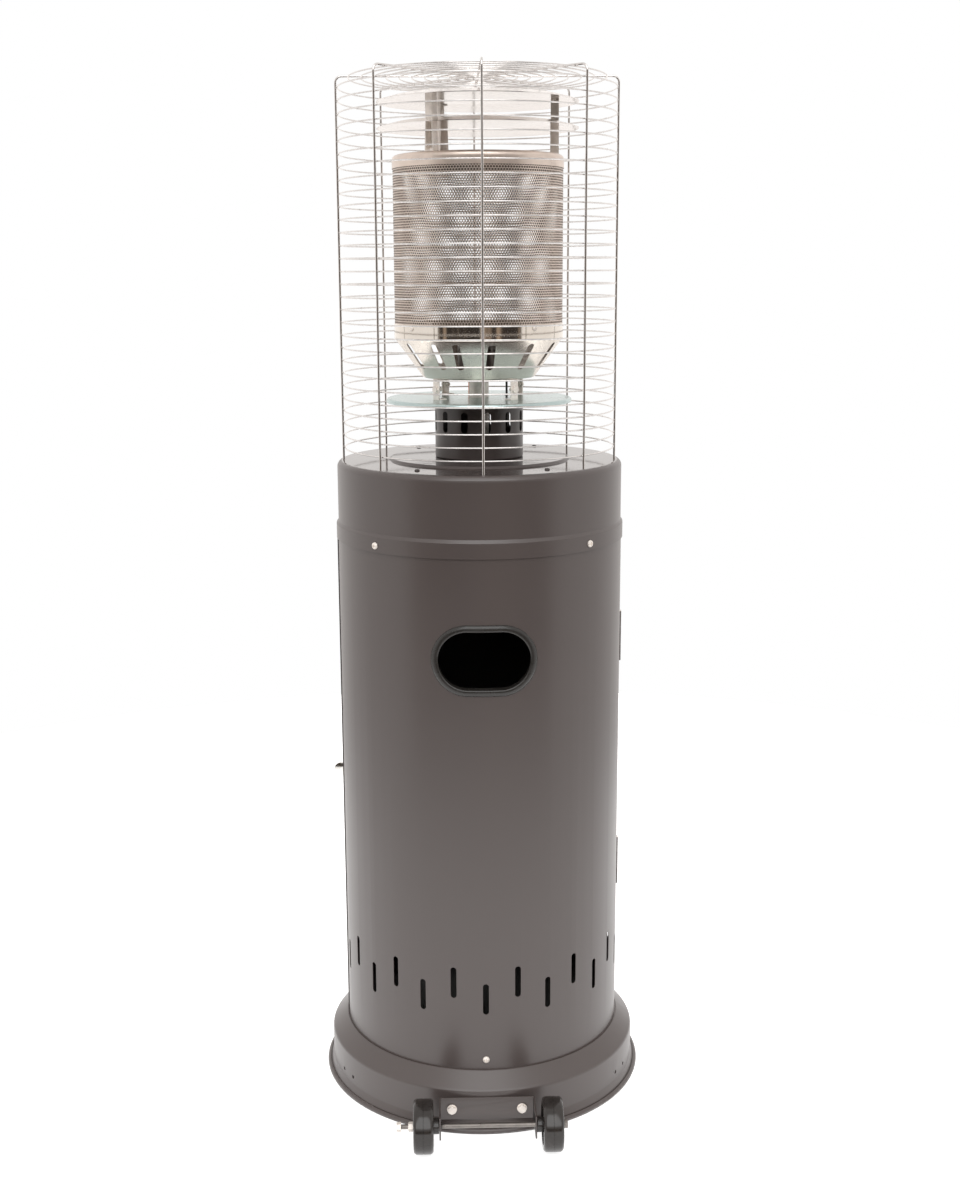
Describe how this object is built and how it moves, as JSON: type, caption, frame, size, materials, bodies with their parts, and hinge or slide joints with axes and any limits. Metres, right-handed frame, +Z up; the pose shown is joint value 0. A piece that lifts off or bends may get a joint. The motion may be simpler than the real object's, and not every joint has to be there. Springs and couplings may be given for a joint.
{
  "type": "gas area heater",
  "caption": "Cylindrical outdoor gas heater on a wheeled base, with a bottle housing and door, a control hood, a perforated emitter, twin reflectors and a wire guard.",
  "frame": {"origin": "on the floor, at the axis of the round body", "axes": "+Z up along the axis, -Y towards the wheels, +Y towards the door and the controls"},
  "size_m": [0.45, 0.521, 1.37],
  "materials": {
    "paint": "satin warm grey powder coat",
    "dark_paint": "satin dark grey paint",
    "black_plastic": "satin black moulding",
    "wheel_plastic": "black moulding with a soft shine",
    "zinc": "bright zinc plate",
    "plain_steel": "plain bright steel",
    "latch_chrome": "chrome plate",
    "guard_wire": "plated wire",
    "polished_stainless": "polished stainless",
    "mesh_stainless": "satin stainless",
    "bright_aluminium": "bright rolled sheet",
    "shield_metal": "bright sheet with a pale blue-green tint",
    "brass": "turned brass",
    "copper": "drawn copper",
    "ceramic": "glazed ceramic"
  },
  "bodies": {
    "frame": {"base_pan": "paint", "wheel_bracket": "paint", "bracket_bolts": "zinc", "wheel_axle": "plain_steel", "axle_nuts": "zinc", "rear_shell": "paint", "front_rail": "paint", "grip_bezel": "black_plastic", "base_screw": "zinc", "hinge_fixed_leaves": "paint", "hinge_pins": "zinc", "latch_strike": "zinc", "hood": "paint", "hood_screws": "zinc", "top_screws": "dark_paint", "control_panel": "black_plastic", "igniter_body": "black_plastic", "valve_bracket": "zinc", "valve_body": "brass", "inlet_nozzle": "brass", "tilt_switch": "black_plastic", "supply_tube": "copper", "injector": "brass", "venturi_tube": "zinc", "pilot_tube": "copper", "pilot_burner": "brass", "thermocouple": "copper", "ignition_lead": "black_plastic", "ignition_electrode": "ceramic", "burner_head": "plain_steel", "burner_neck": "dark_paint", "heat_shield": "shield_metal", "shield_brackets": "zinc", "shield_screws": "zinc", "burner_bowl": "polished_stainless", "bowl_screws": "zinc", "emitter_screen": "mesh_stainless", "emitter_cap": "mesh_stainless", "reflector_trestles": "zinc", "reflector_posts": "zinc", "reflector_lower": "bright_aluminium", "reflector_upper": "bright_aluminium", "reflector_screws": "zinc", "guard_uprights": "guard_wire", "guard_rings_lower": "guard_wire", "guard_rings_upper": "guard_wire", "guard_top": "guard_wire"},
    "door": {"door_panel": "paint", "hinge_door_leaves": "paint", "latch_housing": "latch_chrome"},
    "latch": {"latch_knob": "latch_chrome", "latch_cam": "zinc"},
    "left_wheel": {"wheel_left": "wheel_plastic"},
    "right_wheel": {"wheel_right": "wheel_plastic"},
    "stem": {"valve_stem": "plain_steel"},
    "knob": {"control_knob": "black_plastic"},
    "button": {"igniter_button": "black_plastic"}
  },
  "joints": [
    {"name": "left_wheel_spin", "type": "hinge", "parent": "frame", "child": "left_wheel", "pos_m": [-0.084, -0.261, 0.036], "axis": [1, 0, 0], "continuous": true},
    {"name": "right_wheel_spin", "type": "hinge", "parent": "frame", "child": "right_wheel", "pos_m": [0.084, -0.261, 0.036], "axis": [1, 0, 0], "continuous": true},
    {"name": "door_swing", "type": "hinge", "parent": "frame", "child": "door", "pos_m": [0.1931, 0.0034, 0.425], "axis": [0, 0, -1], "range_deg": [0, 120]},
    {"name": "latch_turn", "type": "hinge", "parent": "door", "child": "latch", "pos_m": [-0.19076, 0.03364, 0.427], "axis": [0.9848, -0.1736, 0], "range_deg": [0, 90]},
    {"name": "knob_push", "type": "slide", "parent": "frame", "child": "stem", "axis": [0, -1, 0], "range_m": [0, 0.005], "stiffness_N_per_m": 600},
    {"name": "knob_turn", "type": "hinge", "parent": "stem", "child": "knob", "pos_m": [0, 0.205, 0.834], "axis": [0, 1, 0], "range_deg": [0, 180]},
    {"name": "igniter_push", "type": "slide", "parent": "frame", "child": "button", "axis": [0, -1, 0], "range_m": [0, 0.004], "stiffness_N_per_m": 500}
  ]
}
